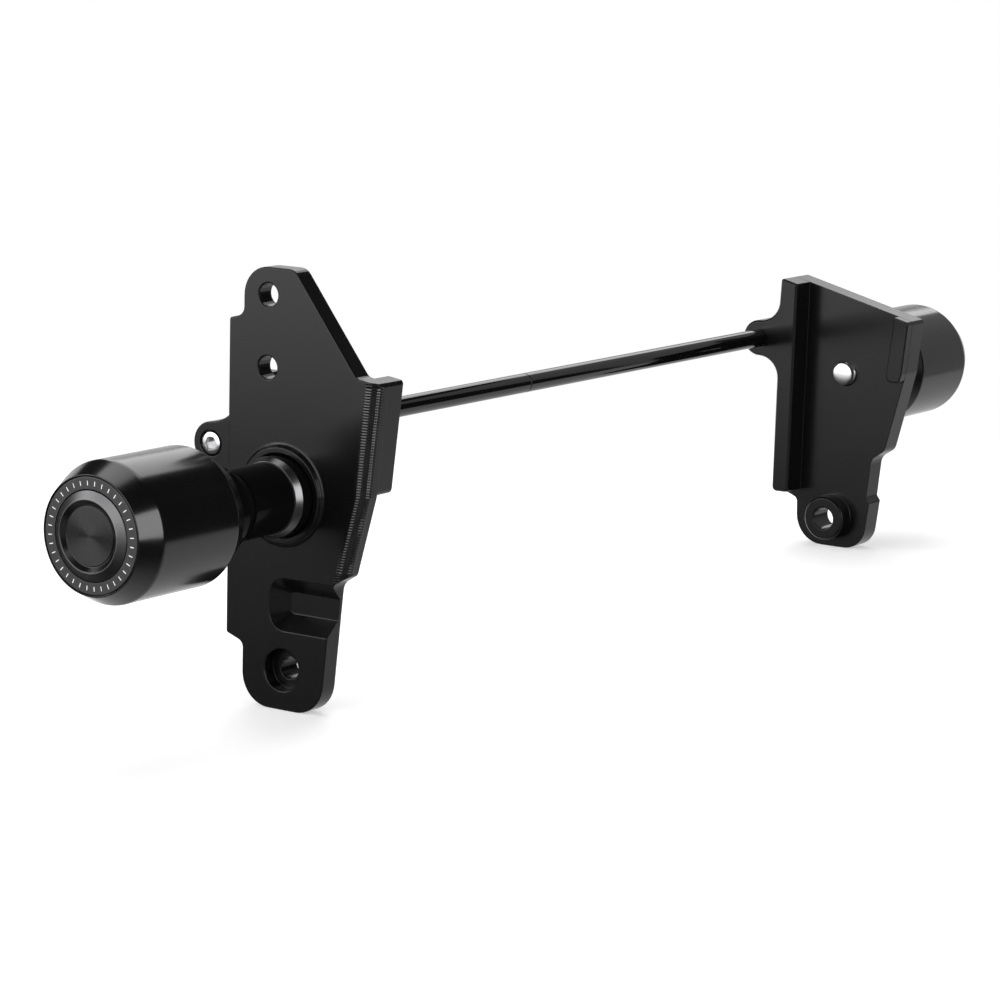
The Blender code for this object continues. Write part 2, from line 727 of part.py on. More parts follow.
def box_centre():
    """The middle of the kit's box in Y and Z, from the outlines that reach furthest."""
    outlines = [rounded(LEFT_WEB_CORNERS), rounded(RIGHT_WEB_CORNERS)]
    outlines += [rail_outline(name) for name in SIDES]
    ys = [y for outline in outlines for y, _ in outline]
    zs = [z for outline in outlines for _, z in outline]
    return (min(ys) + max(ys)) / 2, (min(zs) + max(zs)) / 2


kit = start_clean()
tool_finish = finish("tool", (0.5, 0.1, 0.1), 0.5, 0.0)
for side_name in SIDES:
    plate(side_name)
    spacer(side_name)
    puck(side_name)
    end_ring(side_name)
    end_cap(side_name)
    sleeve_and_washer(side_name)
    at = stack(side_name)
    socket_screw(side_name + "_slider_bolt", side_name, SLIDER_AXIS, at.bolt_seat, BOLT_DIAMETER,
                 at.bolt_seat - at.bolt_end, BOLT_HEAD, BOLT_HEAD_HEIGHT, BOLT_SOCKET, 24)
    socket_screw(side_name + "_ear_screw", side_name, ROD_AXIS, at.ear_face - EAR_SCREW_HEAD_HEIGHT,
                 EAR_SCREW_DIAMETER, EAR_SCREW_LENGTH, EAR_SCREW_HEAD, EAR_SCREW_HEAD_HEIGHT,
                 EAR_SCREW_SOCKET, 20)
    rod(side_name)
joining_stud()
centre_y, centre_z = box_centre()
centre_x = (stack("right").crest_out - stack("left").crest_out) / 2
kit.location = Vector((-centre_x, -centre_y, -centre_z)) * MM
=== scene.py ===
"""Looks of a motorcycle frame slider kit: finer turned pieces, milled edges, finishes, studio light and camera.

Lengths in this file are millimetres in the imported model's frame and become metres in the meshes. A place "out" is a
distance from the middle towards one side, the same number on the left and on the right.
"""

import math

import bmesh
import bpy
import numpy as np
from mathutils import Matrix, Vector


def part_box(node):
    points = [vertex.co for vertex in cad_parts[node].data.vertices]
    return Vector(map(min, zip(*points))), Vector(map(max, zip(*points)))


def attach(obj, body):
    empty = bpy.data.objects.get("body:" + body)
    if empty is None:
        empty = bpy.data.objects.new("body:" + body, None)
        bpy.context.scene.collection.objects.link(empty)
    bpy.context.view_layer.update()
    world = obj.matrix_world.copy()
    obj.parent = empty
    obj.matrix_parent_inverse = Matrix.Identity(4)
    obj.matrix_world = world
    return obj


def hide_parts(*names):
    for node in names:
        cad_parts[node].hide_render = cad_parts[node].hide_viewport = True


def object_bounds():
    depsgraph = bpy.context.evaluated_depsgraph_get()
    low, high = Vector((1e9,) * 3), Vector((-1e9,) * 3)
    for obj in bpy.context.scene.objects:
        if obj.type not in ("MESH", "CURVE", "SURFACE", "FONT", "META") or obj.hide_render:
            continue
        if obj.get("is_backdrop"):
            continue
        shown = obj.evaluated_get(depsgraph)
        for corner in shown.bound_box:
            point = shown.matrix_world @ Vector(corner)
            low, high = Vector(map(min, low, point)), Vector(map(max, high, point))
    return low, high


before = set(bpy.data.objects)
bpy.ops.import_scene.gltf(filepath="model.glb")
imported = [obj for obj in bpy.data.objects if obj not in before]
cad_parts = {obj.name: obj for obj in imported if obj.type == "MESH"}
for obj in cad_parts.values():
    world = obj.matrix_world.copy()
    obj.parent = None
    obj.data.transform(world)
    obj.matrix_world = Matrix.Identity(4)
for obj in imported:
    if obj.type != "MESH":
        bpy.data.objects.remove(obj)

MM = 0.001
SIDES = {"left": -1.0, "right": 1.0}
MERGE_REACH = 1e-7  # metres
SHARP_EDGE = 30.0  # degrees; steeper edges aren't smoothed
STEPS_ROUND = 160  # flats round a turned piece
ROD_STEPS_ROUND = 96
SCREW_STEPS_ROUND = 144
FILLET_STEPS = 5
FILLET_SHARE = 0.45  # of a flat, at most, that one fillet takes
FLAT_HOLD = 0.12  # longest step from a fillet's end to the point that keeps the flat flat
FLAT_HOLD_SHARE = 0.05

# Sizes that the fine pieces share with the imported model
GAP = 0.3
PUCK_RADIUS = 25.0
PUCK_TAPER_LENGTH = 8.5
PUCK_TAPER = 4.1
PUCK_REAR_TAPER = 4.4
SLEEVE_RADIUS = 8.0
WASHER_RADIUS = 11.0
RING_RADIUS = 20.2
RING_BORE = 15.9
CAP_RADIUS = 15.6
CAP_SPIGOT = 1.4
CREST_RISE = 1.75
CREST_OUTER = 12.8
CREST_INNER = 12.3
DISC_RADIUS = 10.4
DISC_RISE = 0.55
FLANGE_RADIUS = 14.8
FLANGE_LENGTH = 7.6
FLANGE_BEVEL_EARLY = 0.4
FLANGE_BEVEL = 2.4
SHAFT_RADIUS = 13.0
SHOULDER_RADIUS = 16.0
SHOULDER_LENGTH = 9.2
CONE_LENGTH = 6.5
GROOVE = 0.8
GROOVE_DEPTH = 0.4
BOLT_RADIUS = 5.0
BOLT_HEAD_RADIUS = 8.0
BOLT_HEAD_HEIGHT = 10.0
BOLT_SOCKET = 8.0
THREAD_PITCH = 1.5
THREAD_LENGTH = 15.0
THREAD_DEPTH = 0.75
THREAD_FLANK = 1.15
THREAD_CREST = 0.1
TIP_SHORTER = 1.4
TIP_DOME = 0.4
TIP_EDGE = 0.2
TIP_PLAIN = 2.2
EAR_HEAD_RADIUS = 4.25
EAR_HEAD_HEIGHT = 5.0
EAR_SHANK_RADIUS = 2.5
EAR_SOCKET = 4.0
ROD_RADIUS = 4.0
ROD_BORE = 2.8
ROD_JOINT = 0.04  # left open on either side of the joint
STUD_DEPTH = 12.15
EAR_THREAD_DEPTH = 16.0

# Milled round-over of the left plate's long edge, as a line of (Y, Z) from the slider's axis
SIDE_LINE = ((-41.05, 44.0), (-36.6, 2.8), (-28.8, -26.6))
SEAT_BOSS_RISE = 2.0
ROUND_OVER = 5.0
ROUND_OVER_LIFT = 0.08
STRIP_CUT_TOP = 1.2
STRIP_CUT_FOOT = 1.0
STRIP_COLUMNS = 42
STRIP_TURN = (4.0, 86.0)  # degrees
STRIP_PROUD = 0.03
STRIP_LIMIT = 0.012
SCALLOP_PITCH = 1.0
SCALLOP_DEPTH = 0.1
SCALLOP_ROWS = 10

# Greys and gloss of the finishes
HARD_BLACK = (0.003, 0.003, 0.0032)
SOFT_BLACK = (0.003, 0.003, 0.0031)
RING_BLACK = (0.02, 0.02, 0.021)
CAP_BLACK = (0.004, 0.004, 0.0042)
ROD_BLACK = (0.002, 0.002, 0.0021)
TICK_WHITE = (0.85, 0.85, 0.84)
BEVEL_GREY = (0.13, 0.13, 0.132)
CHAMFER_GREY = (0.16, 0.16, 0.163)
ZINC_GREY = (0.56, 0.57, 0.58)
STEEL_GREY = (0.78, 0.78, 0.79)
CAP_GLOSS = 0.16
BEVEL_GLOSS = 0.34
SPACER_GLOSS = 0.13
CHAMFER_GLOSS = 0.28
TICK_ENDS = (17.2, 18.8)
TICK_HALF_WIDTH = 0.15
TICK_SOFT = 0.03


# Meshes


def object_from(name, points, faces, material):
    """A piece from points in metres and faces: doubles merged, faces pointing out, steep edges kept sharp."""
    mesh = bpy.data.meshes.new(name)
    body = bmesh.new()
    mesh.from_pydata(points, [], faces)
    body.from_mesh(mesh)
    bmesh.ops.remove_doubles(body, verts=body.verts, dist=MERGE_REACH)
    bmesh.ops.recalc_face_normals(body, faces=body.faces)
    body.to_mesh(mesh)
    body.free()
    mesh.shade_smooth()
    mesh.set_sharp_from_angle(angle=math.radians(SHARP_EDGE))
    mesh.materials.append(material)
    piece = bpy.data.objects.new(name, mesh)
    bpy.context.scene.collection.objects.link(piece)
    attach(piece, "root")
    return piece


def grid_faces(rows, columns, round_rows=False, round_columns=True):
    """Quads of a grid of points, joined round where a parameter comes back to its start."""
    index = np.arange(rows * columns).reshape(rows, columns)
    if round_rows:
        index = np.vstack([index, index[:1]])
    if round_columns:
        index = np.hstack([index, index[:, :1]])
    quads = np.stack([index[:-1, :-1], index[:-1, 1:], index[1:, 1:], index[1:, :-1]], axis=-1)
    return quads.reshape(-1, 4).tolist()


def eased(profile):
    """A profile's corners (out, radius, fillet) turned into arcs: point s of an arc from A over the corner B to C is
    (1-s)^2 A + 2s(1-s) B + s^2 C, and a point just outside either end keeps the flats flat."""
    line = []
    count = len(profile)
    for i, (out, radius, fillet) in enumerate(profile):
        here = np.array([out, radius])
        if not fillet:
            line.append(here)
            continue
        back = np.array(profile[i - 1][:2]) - here
        ahead = np.array(profile[(i + 1) % count][:2]) - here
        back_length, ahead_length = np.linalg.norm(back), np.linalg.norm(ahead)
        back, ahead = back / back_length, ahead / ahead_length
        reach = min(fillet, FILLET_SHARE * back_length, FILLET_SHARE * ahead_length)
        share = np.linspace(0.0, 1.0, FILLET_STEPS)[:, None]
        start, end = here + back * reach, here + ahead * reach
        curve = (1 - share) ** 2 * start + 2 * share * (1 - share) * here + share**2 * end
        line.append(start + back * min(FLAT_HOLD, FLAT_HOLD_SHARE * back_length))
        line.extend(curve)
        line.append(end + ahead * min(FLAT_HOLD, FLAT_HOLD_SHARE * ahead_length))
    return np.array(line)


def axis_of(node):
    """Y and Z of a turned node's own axis."""
    low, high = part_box(node)
    return (low.y + high.y) / 2 / MM, (low.z + high.z) / 2 / MM


def ends_of(node, side):
    """Where a node starts and ends, out from the middle."""
    low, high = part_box(node)
    return tuple(sorted((side * low.x / MM, side * high.x / MM)))


def turned_points(line, axis, side, steps, hexes=None, rise=None):
    """Point at row i and turn t: x = side * out_i, y and z = axis + radius_i * (cos t, sin t). hexes is the share of
    row i whose radius follows a hexagon, radius / cos(t folded into 30 degrees either way). rise adds to the radius."""
    turn = np.linspace(0.0, 2 * np.pi, steps, endpoint=False)
    out, radius = line[:, :1], line[:, 1:2]
    reach = np.broadcast_to(radius, (len(line), steps)).copy()
    if hexes is not None:
        folded = np.mod(turn, np.pi / 3) - np.pi / 6
        reach *= 1 + np.asarray(hexes)[:, None] * (1 / np.cos(folded) - 1)
    if rise is not None:
        reach += rise(out, turn[None, :])
    x = np.broadcast_to(side * out, reach.shape)
    points = np.stack([x, axis[0] + reach * np.cos(turn), axis[1] + reach * np.sin(turn)], axis=-1)
    return points.reshape(-1, 3) * MM


def turned(node, profile, side, material, closed=True, steps=STEPS_ROUND):
    """A finer piece that stands for a turned node: its profile carried round the node's axis."""
    line = eased(profile)
    points = turned_points(line, axis_of(node), side, steps)
    faces = grid_faces(len(line), steps, round_rows=closed)
    piece = object_from(node + "_turned", points, faces, material)
    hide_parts(node)
    return piece


def edge_strip(material):
    """The left plate's milled round-over: at height z and angle a from the face, the point lies at a radius of
    R - depth * (1 - s * s) from the arc's centre, where s runs from -1 to 1 across one pass of the cutter. It is kept
    from standing out of the plate's face and side."""
    side = SIDES["left"]
    face = ends_of("left_plate", side)[1] - SEAT_BOSS_RISE
    (y_top, z_top), (y_kink, z_kink), (y_foot, z_foot) = SIDE_LINE
    top = z_top - STRIP_CUT_TOP
    bottom = z_foot + STRIP_CUT_FOOT
    passes = round((top - bottom) / SCALLOP_PITCH)
    z = np.linspace(top, bottom, passes * SCALLOP_ROWS + 1)[:, None]
    upper = y_top + (y_kink - y_top) * (z - z_top) / (z_kink - z_top)
    lower = y_kink + (y_foot - y_kink) * (z - z_kink) / (z_foot - z_kink)
    edge = np.where(z > z_kink, upper, lower)
    across = 2 * np.mod((top - z) / SCALLOP_PITCH, 1.0) - 1
    radius = ROUND_OVER + STRIP_PROUD - SCALLOP_DEPTH * (1 - across**2)
    angle = np.radians(np.linspace(*STRIP_TURN, STRIP_COLUMNS))[None, :]
    centre_out = face - ROUND_OVER + ROUND_OVER_LIFT
    centre_y = edge + ROUND_OVER - ROUND_OVER_LIFT
    out = np.minimum(centre_out + radius * np.cos(angle), face + STRIP_LIMIT)
    y = np.maximum(centre_y - radius * np.sin(angle), edge - STRIP_LIMIT)
    height = np.broadcast_to(z, out.shape)
    points = np.stack([side * out, y + SLIDER_AXIS[0], height + SLIDER_AXIS[1]], axis=-1).reshape(-1, 3) * MM
    faces = grid_faces(*out.shape, round_columns=False)
    return object_from("left_milled_edge", points, faces, material)


# Materials


def link(tree, source, target):
    tree.links.new(source, target)


def object_noise(tree, scale, detail):
    """Noise on Object coordinates; scale is in cycles a metre."""
    place = tree.nodes.new("ShaderNodeTexCoord")
    noise = tree.nodes.new("ShaderNodeTexNoise")
    noise.inputs["Scale"].default_value = scale
    noise.inputs["Detail"].default_value = detail
    link(tree, place.outputs["Object"], noise.inputs["Vector"])
    return noise.outputs["Fac"]


def ranged(tree, value, low, high, start=0.0, end=1.0, smooth=False):
    """A value from start to end mapped to low to high."""
    node = tree.nodes.new("ShaderNodeMapRange")
    if smooth:
        node.interpolation_type = "SMOOTHSTEP"
    for name, number in (("From Min", start), ("From Max", end), ("To Min", low), ("To Max", high)):
        node.inputs[name].default_value = number
    link(tree, value, node.inputs["Value"])
    return node.outputs["Result"]


def bumped(tree, shader, height, distance):
    """Relief of a height times a distance in metres, in the shader's normal."""
    bump = tree.nodes.new("ShaderNodeBump")
    bump.inputs["Distance"].default_value = distance
    link(tree, height, bump.inputs["Height"])
    link(tree, bump.outputs["Normal"], shader.inputs["Normal"])


def finish(name, colour, roughness, metallic=0.0, spread=0.0, edge=0.0, **sockets):
    """A finish of one colour whose roughness drifts by spread over a few centimetres, and whose sharp edges are
    shaded as if rounded by a radius."""
    material = bpy.data.materials.new(name)
    material.use_nodes = True
    tree = material.node_tree
    shader = tree.nodes["Principled BSDF"]
    shader.inputs["Base Color"].default_value = (*colour, 1.0)
    shader.inputs["Roughness"].default_value = roughness
    shader.inputs["Metallic"].default_value = metallic
    for socket, number in sockets.items():
        shader.inputs[socket.replace("_", " ")].default_value = number
    if spread:
        drift = object_noise(tree, 60.0, 3.0)
        link(tree, ranged(tree, drift, roughness - spread, roughness + spread, 0.3, 0.7), shader.inputs["Roughness"])
    if edge:
        rounded = tree.nodes.new("ShaderNodeBevel")
        rounded.samples = 6
        rounded.inputs["Radius"].default_value = edge
        link(tree, rounded.outputs["Normal"], shader.inputs["Normal"])
    return material


def maths(tree, operation, *values):
    """One step of arithmetic on numbers or other nodes' values."""
    node = tree.nodes.new("ShaderNodeMath")
    node.operation = operation
    for socket, value in zip(node.inputs, values):
        if isinstance(value, (int, float)):
            socket.default_value = value
        else:
            link(tree, value, socket)
    return node.outputs["Value"]


def polar(tree, axis):
    """Radius from an axis along X, in millimetres, and turn round it in radians, from Object coordinates."""
    place = tree.nodes.new("ShaderNodeTexCoord")
    split = tree.nodes.new("ShaderNodeSeparateXYZ")
    link(tree, place.outputs["Object"], split.inputs["Vector"])
    y = maths(tree, "SUBTRACT", split.outputs["Y"], axis[0] * MM)
    z = maths(tree, "SUBTRACT", split.outputs["Z"], axis[1] * MM)
    radius = maths(tree, "SQRT", maths(tree, "ADD", maths(tree, "MULTIPLY", y, y), maths(tree, "MULTIPLY", z, z)))
    return maths(tree, "MULTIPLY", radius, 1 / MM), maths(tree, "ARCTAN2", z, y)


def band(tree, value, low, high, soft):
    """One between low and high, with edges as wide as soft."""
    up = ranged(tree, value, 0.0, 1.0, low - soft, low + soft)
    down = ranged(tree, value, 1.0, 0.0, high - soft, high + soft)
    return maths(tree, "MULTIPLY", up, down)


def tinted(tree, share, colour, worn):
    """Base colour that goes from one grey to another with a share."""
    tone = tree.nodes.new("ShaderNodeMix")
    tone.data_type = "RGBA"
    tone.inputs["A"].default_value = (*colour, 1.0)
    tone.inputs["B"].default_value = (*worn, 1.0)
    link(tree, share, tone.inputs["Factor"])
    link(tree, tone.outputs["Result"], tree.nodes["Principled BSDF"].inputs["Base Color"])


def ring_finish(axis, count=36):
    """Satin black ring with short white ticks: white where the radius is in the tick's length and the turn, folded into
    one of count equal parts, is within half its width."""
    material = finish("ring_black_satin", RING_BLACK, 0.4)
    tree = material.node_tree
    radius, turn = polar(tree, axis)
    folded = maths(tree, "FRACT", maths(tree, "ADD", maths(tree, "MULTIPLY", turn, count / math.tau), 100.0))
    offset = maths(tree, "ABSOLUTE", maths(tree, "SUBTRACT", folded, 0.5))
    width = maths(tree, "MULTIPLY", maths(tree, "MULTIPLY", offset, radius), math.tau / count)
    along = band(tree, radius, *TICK_ENDS, TICK_SOFT)
    tick = maths(tree, "MULTIPLY", along, band(tree, width, -1.0, TICK_HALF_WIDTH, TICK_SOFT))
    tinted(tree, tick, RING_BLACK, TICK_WHITE)
    return material


def cap_finish(axis, pitch=0.3, depth=0.000006):
    """Turned face of the cap: relief of rings a pitch apart, whose height is a sine of the radius. From the crest
    outwards the black is thinner, so the bevel shows satin metal; inside the crest the face is smooth and dark."""
    material = finish("cap_black_turned", CAP_BLACK, CAP_GLOSS)
    tree = material.node_tree
    shader = tree.nodes["Principled BSDF"]
    radius, _ = polar(tree, axis)
    rings = maths(tree, "SINE", maths(tree, "MULTIPLY", radius, math.tau / pitch))
    bumped(tree, shader, rings, depth)
    bevel = ranged(tree, radius, 0.0, 1.0, CREST_INNER, CREST_OUTER)
    tinted(tree, bevel, CAP_BLACK, BEVEL_GREY)
    link(tree, bevel, shader.inputs["Metallic"])
    link(tree, ranged(tree, bevel, CAP_GLOSS, BEVEL_GLOSS), shader.inputs["Roughness"])
    return material


def bright_chamfer(material, name, low, high):
    """A copy of a finish that shows satin metal between two places along X, in millimetres."""
    copy = material.copy()
    copy.name = name
    tree = copy.node_tree
    place = tree.nodes.new("ShaderNodeTexCoord")
    split = tree.nodes.new("ShaderNodeSeparateXYZ")
    link(tree, place.outputs["Object"], split.inputs["Vector"])
    share = band(tree, split.outputs["X"], low * MM, high * MM, 0.00002)
    shader = tree.nodes["Principled BSDF"]
    tinted(tree, share, SOFT_BLACK, CHAMFER_GREY)
    link(tree, share, shader.inputs["Metallic"])
    link(tree, ranged(tree, share, SPACER_GLOSS, CHAMFER_GLOSS), shader.inputs["Roughness"])
    return copy


SLIDER_AXIS = axis_of("left_puck")

plate_black = finish("plate_black_anodised", HARD_BLACK, 0.23, spread=0.006, edge=0.0005, Specular_IOR_Level=0.33)
edge_black = finish("milled_black_anodised", HARD_BLACK, 0.16, Specular_IOR_Level=0.7)
puck_black = finish("puck_black_nylon", SOFT_BLACK, 0.17, spread=0.02)
ring_black = ring_finish(SLIDER_AXIS)
cap_black = cap_finish(SLIDER_AXIS)
spacer_black = finish("spacer_black_anodised", SOFT_BLACK, SPACER_GLOSS, spread=0.01, IOR=1.13)
zinc = finish("zinc_plated_steel", ZINC_GREY, 0.32, metallic=1.0, spread=0.05)
stainless = finish("bright_stainless", STEEL_GREY, 0.22, metallic=1.0, spread=0.04)
rod_black = finish("rod_gloss_black", ROD_BLACK, 0.07, spread=0.015)

NODE_FINISHES = {"plate": plate_black, "inner_sleeve": zinc, "bolt_washer": zinc, "joining_stud": zinc}
for name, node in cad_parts.items():
    for ending, material in NODE_FINISHES.items():
        if name.endswith(ending):
            node.material_slots[0].material = material


# Turned pieces


def puck(side_name):
    side = SIDES[side_name]
    node = side_name + "_puck"
    rear, front = ends_of(node, side)
    washer_seat = ends_of(side_name + "_bolt_washer", side)[0] - GAP
    back = ends_of(side_name + "_end_ring", side)[0] - GAP
    profile = [
        (rear, SLEEVE_RADIUS + GAP, 0),
        (rear, PUCK_RADIUS - PUCK_REAR_TAPER, 0.5),
        (rear + PUCK_TAPER_LENGTH, PUCK_RADIUS, 0.5),
        (front - PUCK_TAPER_LENGTH, PUCK_RADIUS, 0.8),
        (front, PUCK_RADIUS - PUCK_TAPER, 0.25),
        (front, RING_RADIUS + GAP, 0.1),
        (back, RING_RADIUS + GAP, 0),
        (back, WASHER_RADIUS + GAP, 0),
        (washer_seat, WASHER_RADIUS + GAP, 0),
        (washer_seat, SLEEVE_RADIUS + GAP, 0),
    ]
    turned(node, profile, side, puck_black)


def end_ring(side_name):
    side = SIDES[side_name]
    node = side_name + "_end_ring"
    back, front = ends_of(node, side)
    profile = [(back, RING_BORE, 0), (back, RING_RADIUS, 0), (front, RING_RADIUS, 0.35), (front, RING_BORE, 0.1)]
    turned(node, profile, side, ring_black)


def end_cap(side_name):
    side = SIDES[side_name]
    node = side_name + "_end_cap"
    back, crest_out = ends_of(node, side)
    front = crest_out - CREST_RISE
    disc_out = front + DISC_RISE
    profile = [
        (back, 0.0, 0),
        (back, WASHER_RADIUS, 0),
        (back + CAP_SPIGOT, WASHER_RADIUS, 0),
        (back + CAP_SPIGOT, CAP_RADIUS, 0),
        (front, CAP_RADIUS, 0.15),
        (crest_out, CREST_OUTER, 0.3),
        (crest_out, CREST_INNER, 0.2),
        (disc_out - GAP, DISC_RADIUS + GAP, 0.1),
        (disc_out - GAP, DISC_RADIUS, 0),
        (disc_out, DISC_RADIUS - 0.15, 0.08),
        (disc_out, 0.0, 0),
    ]
    turned(node, profile, side, cap_black, closed=False)


def spacer(side_name):
    side = SIDES[side_name]
    node = side_name + "_spacer"
    start, end = ends_of(node, side)
    bore = BOLT_RADIUS + GAP
    profile = [(start, bore, 0), (start, FLANGE_RADIUS, 0)]
    material = spacer_black
    if side_name == "left":
        bevel_start = start + FLANGE_LENGTH - FLANGE_BEVEL_EARLY
        bevel_end = bevel_start + FLANGE_BEVEL
        cone_start = end - SHOULDER_LENGTH
        cone_end = cone_start - CONE_LENGTH
        groove = SHAFT_RADIUS - GROOVE_DEPTH
        material = bright_chamfer(spacer_black, "left_spacer_black", -bevel_end, -bevel_start)
        profile += [
            (bevel_start, FLANGE_RADIUS, 0.3),
            (bevel_end, SHAFT_RADIUS + GAP, 0.1),
            (bevel_end, groove, 0),
            (bevel_end + GROOVE, groove, 0),
            (bevel_end + GROOVE, SHAFT_RADIUS, 0.15),
            (cone_end - GROOVE, SHAFT_RADIUS, 0.15),
            (cone_end - GROOVE, groove, 0),
            (cone_end, groove, 0),
            (cone_start, SHOULDER_RADIUS, 0.6),
            (end, SHOULDER_RADIUS, 0.2),
        ]
    else:
        profile += [(end - GROOVE, FLANGE_RADIUS, 0.2), (end, FLANGE_RADIUS - GROOVE, 0.2)]
    profile.append((end, bore, 0))
    turned(node, profile, side, material)


def rod(side_name):
    side = SIDES[side_name]
    node = side_name + "_rod"
    start, end = ends_of(node, side)
    joint = start - GAP / 2 + ROD_JOINT
    stud_floor = start + STUD_DEPTH
    screw_floor = end - EAR_THREAD_DEPTH
    profile = [
        (stud_floor, 0.0, 0),
        (stud_floor, ROD_BORE, 0),
        (joint, ROD_BORE, 0),
        (joint, ROD_RADIUS, 0.35),
        (end, ROD_RADIUS, 0.2),
        (end, ROD_BORE, 0),
        (screw_floor, ROD_BORE, 0),
        (screw_floor, 0.0, 0),
    ]
    turned(node, profile, side, rod_black, closed=False, steps=ROD_STEPS_ROUND)


def socket_screw(node, side, radius, head_radius, head_height, socket, thread=0.0):
    """A screw whose shank has a thread at its tip: the radius falls by a depth times the distance from the crest of a
    helix, fract(out / pitch - turn / 360 degrees). Its socket's rows follow a hexagon."""
    start, end = ends_of(node, side)
    seat = end - head_height
    floor = seat + head_height / 2
    apothem = socket / 2
    edge = 0.06 * head_radius
    if thread:
        start += TIP_SHORTER
        turn = np.linspace(0.0, np.pi / 2, 9)
        dome_out = start + TIP_DOME * (1 - np.cos(turn))
        dome = np.stack([dome_out, (radius - TIP_EDGE) * np.sin(turn), 0 * turn], axis=-1)
        helix_rows = np.arange(start + 1.4, start + thread, THREAD_PITCH / 10)
        shank = np.stack([helix_rows, np.full_like(helix_rows, radius), 0 * helix_rows], axis=-1)
        rows = [*dome.tolist(), *shank.tolist()]
    else:
        rows = [(start, 0.0, 0), (start, radius * 0.72, 0), (start + 0.4, radius, 0)]
    rows += [
        (seat, radius, 0),
        (seat, head_radius - 0.2, 0),
        (seat + 0.2, head_radius, 0),
        (end - 2 * edge, head_radius, 0),
        (end - 1.2 * edge, head_radius - 0.25 * edge, 0),
        (end - 0.4 * edge, head_radius - 0.8 * edge, 0),
        (end, head_radius - 2 * edge, 0),
        (end, apothem * 1.2, 0),
        (end, apothem + 0.25, 1),
        (end - 0.25, apothem, 1),
        (floor, apothem, 1),
        (floor, 0.0, 0),
    ]
    rows = np.array(rows, dtype=float)

    def helix(out, turn):
        phase = np.mod(out / THREAD_PITCH - side * turn / (2 * np.pi), 1.0)
        groove = THREAD_DEPTH * np.clip(THREAD_FLANK * np.abs(2 * phase - 1) - THREAD_CREST, 0.0, 1.0)
        inside = (out > start + TIP_PLAIN) & (out < start + thread)
        return -np.where(inside, groove, 0.0)

    line = rows[:, :2]
    points = turned_points(line, axis_of(node), side, SCREW_STEPS_ROUND, rows[:, 2], helix if thread else None)
    faces = grid_faces(len(rows), SCREW_STEPS_ROUND)
    piece = object_from(node + "_detailed", points, faces, stainless)
    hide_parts(node)


for side_name, side in SIDES.items():
    puck(side_name)
    end_ring(side_name)
    end_cap(side_name)
    spacer(side_name)
    rod(side_name)
    socket_screw(side_name + "_slider_bolt", side, BOLT_RADIUS, BOLT_HEAD_RADIUS, BOLT_HEAD_HEIGHT, BOLT_SOCKET,
                 THREAD_LENGTH)
    socket_screw(side_name + "_ear_screw", side, EAR_SHANK_RADIUS, EAR_HEAD_RADIUS, EAR_HEAD_HEIGHT, EAR_SOCKET)
edge_strip(edge_black)


# Stage, light and camera

FLOOR_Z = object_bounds()[0].z
NOSE = Vector((-0.297, SLIDER_AXIS[0] * MM, SLIDER_AXIS[1] * MM))
FAR_PUCK = Vector((0.27, SLIDER_AXIS[0] * MM, SLIDER_AXIS[1] * MM))
VIEW_AZIMUTH, VIEW_ELEVATION, VIEW_ROLL = -55.8497, 10.2117, 1.3937
FOCAL_PIXELS = 3754.66
CAMERA_OFFSET = Vector((-137.1364, -12.1448, -1258.1282))  # of the nose's centre, in the camera's own axes
NOSE_PLANE = (-295.7, SLIDER_AXIS[0], SLIDER_AXIS[1])
SENSOR = 36.0
FRAME_PIXELS = 1000
ROOM_LIGHT = 0.03
FLOOR_REACH = 4.0  # metres
FLOOR_LINES = 9
FLOOR_DROP = 0.0001
FLOOR_GREY = (0.87, 0.87, 0.87)
FLOOR_GLOW = 0.39
FLOOR_FADE = (0.32, 0.6)  # metres from the middle


def direction(azimuth, elevation):
    """Towards a place round the object: azimuth 0 is -Y and 90 is +X."""
    a, e = math.radians(azimuth), math.radians(elevation)
    return Vector((math.sin(a) * math.cos(e), -math.cos(a) * math.cos(e), math.sin(e)))


def softbox(name, azimuth, elevation, distance, width, height, brightness, target=NOSE):
    """A rectangular area light that faces the target; its power is brightness * pi * area."""
    lamp = bpy.data.lights.new(name, "AREA")
    lamp.shape = "RECTANGLE"
    lamp.size, lamp.size_y = width, height
    lamp.energy = brightness * math.pi * width * height
    light = bpy.data.objects.new(name, lamp)
    away = direction(azimuth, elevation)
    light.location = target + away * distance
    light.rotation_mode = "QUATERNION"
    light.rotation_quaternion = away.to_track_quat("Z", "Y")
    light.visible_camera = False
    bpy.context.scene.collection.objects.link(light)


